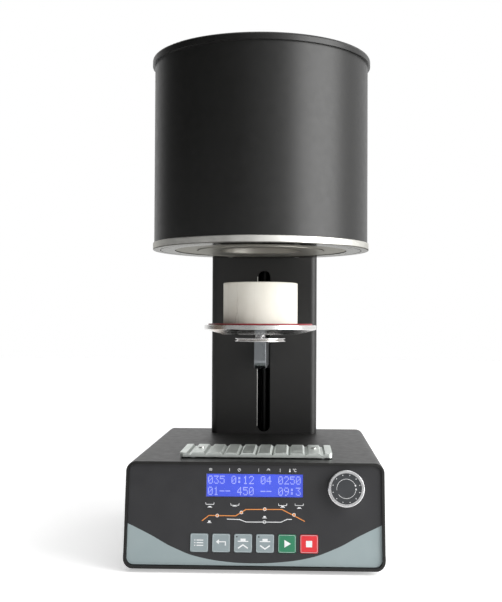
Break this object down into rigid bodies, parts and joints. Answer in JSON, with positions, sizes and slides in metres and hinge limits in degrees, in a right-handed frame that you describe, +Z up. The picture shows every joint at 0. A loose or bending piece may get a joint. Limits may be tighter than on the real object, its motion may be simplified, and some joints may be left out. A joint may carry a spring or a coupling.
{
  "type": "dental porcelain furnace",
  "caption": "Bench furnace for firing dental porcelain: round firing head on a column, motor-driven lift table below its mouth, control box with display, keys and dial at the bottom.",
  "frame": {"origin": "on the table under the feet, in the middle of the whole outline with its rear hose nozzle", "axes": "+X to the right seen from the front, +Y to the back, +Z up"},
  "size_m": [0.2654, 0.364, 0.5587],
  "materials": {
    "black_coat": "satin black powder coat",
    "jacket_coat": "satin black powder coat",
    "panel_plate": "brushed",
    "panel_print": "printed film, charcoal with a blue-grey sweep",
    "window_clear": "clear",
    "display_case": "black bezel on a board",
    "board": "printed circuit board",
    "key_grey": "satin",
    "key_green": "satin",
    "key_red": "satin",
    "dial_metal": "turned",
    "dial_face": "matt",
    "bright_alu": "turned and polished",
    "satin_alu": "satin",
    "machine_steel": "ground",
    "screw_steel": "plated",
    "bronze": "turned",
    "spring_steel": "spring wire",
    "seal_red": "silicone",
    "fibre_white": "pressed ceramic fibre",
    "fibre_inner": "pressed ceramic fibre",
    "muffle": "sintered tube",
    "coil_wire": "oxidised resistance wire",
    "foot_rubber": "matt",
    "black_plastic": "moulded",
    "core_wrap": "taped winding",
    "hose": "silicone hose"
  },
  "bodies": {
    "root": {"base_pan": "black_coat", "base_cover": "black_coat", "rubber_feet": "foot_rubber", "housing_screws": "screw_steel", "front_panel": "panel_plate", "panel_film": "panel_print", "display_window": "window_clear", "display_module": "display_case", "control_board": "board", "dial_encoder": "machine_steel", "rear_panel": "black_coat", "mains_inlet": "black_plastic", "pump_socket": "black_plastic", "vacuum_nozzle": "satin_alu", "vacuum_valve": "machine_steel", "vacuum_line": "hose", "transformer": "core_wrap", "power_board": "board", "cooling_tray": "satin_alu", "column_shell": "black_coat", "column_back": "black_coat", "column_cap": "black_coat", "lift_frame": "satin_alu", "bearing_plates": "satin_alu", "guide_rods": "machine_steel", "screw_bearings": "machine_steel", "lift_motor": "display_case", "limit_switches": "black_plastic", "head_bracket": "black_coat", "head_ring": "bright_alu", "chamber_flange": "bright_alu", "muffle_tube": "muffle", "heating_coil": "coil_wire", "chamber_insulation": "fibre_inner", "vacuum_vessel": "machine_steel", "thermocouple": "muffle", "jacket": "jacket_coat", "lid": "jacket_coat"},
    "lift": {"carriage": "satin_alu", "carriage_bushes": "bronze", "lift_arm": "satin_alu", "support_disc": "bright_alu", "pivot_pin": "machine_steel", "pivot_spring": "spring_steel"},
    "table": {"lift_plate": "bright_alu", "table_seal": "seal_red", "firing_plinth": "fibre_white"},
    "screw": {"lead_screw": "machine_steel", "shaft_coupling": "satin_alu", "motor_shaft": "machine_steel"},
    "dial": {"dial_spindle": "machine_steel", "dial_ring": "dial_metal", "dial_cap": "dial_face"},
    "rocker": {"mains_rocker": "black_plastic"},
    "key_menu": {"key_menu": "key_grey"},
    "key_back": {"key_back": "key_grey"},
    "key_up": {"key_up": "key_grey"},
    "key_down": {"key_down": "key_grey"},
    "key_start": {"key_start": "key_green"},
    "key_stop": {"key_stop": "key_red"}
  },
  "joints": [
    {"name": "lift_travel", "type": "slide", "parent": "root", "child": "lift", "axis": [0, 0, 1], "range_m": [-0.0815, 0.0847]},
    {"name": "table_float", "type": "slide", "parent": "lift", "child": "table", "axis": [0, 0, 1], "range_m": [-0.0015, 0], "stiffness_N_per_m": 8000, "springref_m": 0.003, "deforming": ["pivot_spring"]},
    {"name": "screw_spin", "type": "hinge", "parent": "root", "child": "screw", "pos_m": [0, 0.1333, 0.1], "axis": [0, 0, 1], "range_deg": [-3850, 3700]},
    {"name": "dial_turn", "type": "hinge", "parent": "root", "child": "dial", "pos_m": [0.0932, -0.16608, 0.08397], "axis": [0, -0.9863, 0.165], "continuous": true},
    {"name": "rocker_tip", "type": "hinge", "parent": "root", "child": "rocker", "pos_m": [-0.088, 0.161, 0.0699], "axis": [0, 0, 1], "range_deg": [-16, 0]},
    {"name": "key_menu_press", "type": "slide", "parent": "root", "child": "key_menu", "axis": [0, 0.9863, -0.165], "range_m": [0, 0.0006], "stiffness_N_per_m": 600},
    {"name": "key_back_press", "type": "slide", "parent": "root", "child": "key_back", "axis": [0, 0.9863, -0.165], "range_m": [0, 0.0006], "stiffness_N_per_m": 600},
    {"name": "key_up_press", "type": "slide", "parent": "root", "child": "key_up", "axis": [0, 0.9863, -0.165], "range_m": [0, 0.0006], "stiffness_N_per_m": 600},
    {"name": "key_down_press", "type": "slide", "parent": "root", "child": "key_down", "axis": [0, 0.9863, -0.165], "range_m": [0, 0.0006], "stiffness_N_per_m": 600},
    {"name": "key_start_press", "type": "slide", "parent": "root", "child": "key_start", "axis": [0, 0.9863, -0.165], "range_m": [0, 0.0006], "stiffness_N_per_m": 600},
    {"name": "key_stop_press", "type": "slide", "parent": "root", "child": "key_stop", "axis": [0, 0.9863, -0.165], "range_m": [0, 0.0006], "stiffness_N_per_m": 600}
  ],
  "couplings": [
    {"joint": "screw_spin", "follows": "lift_travel", "rad_per_m": -785.4}
  ]
}
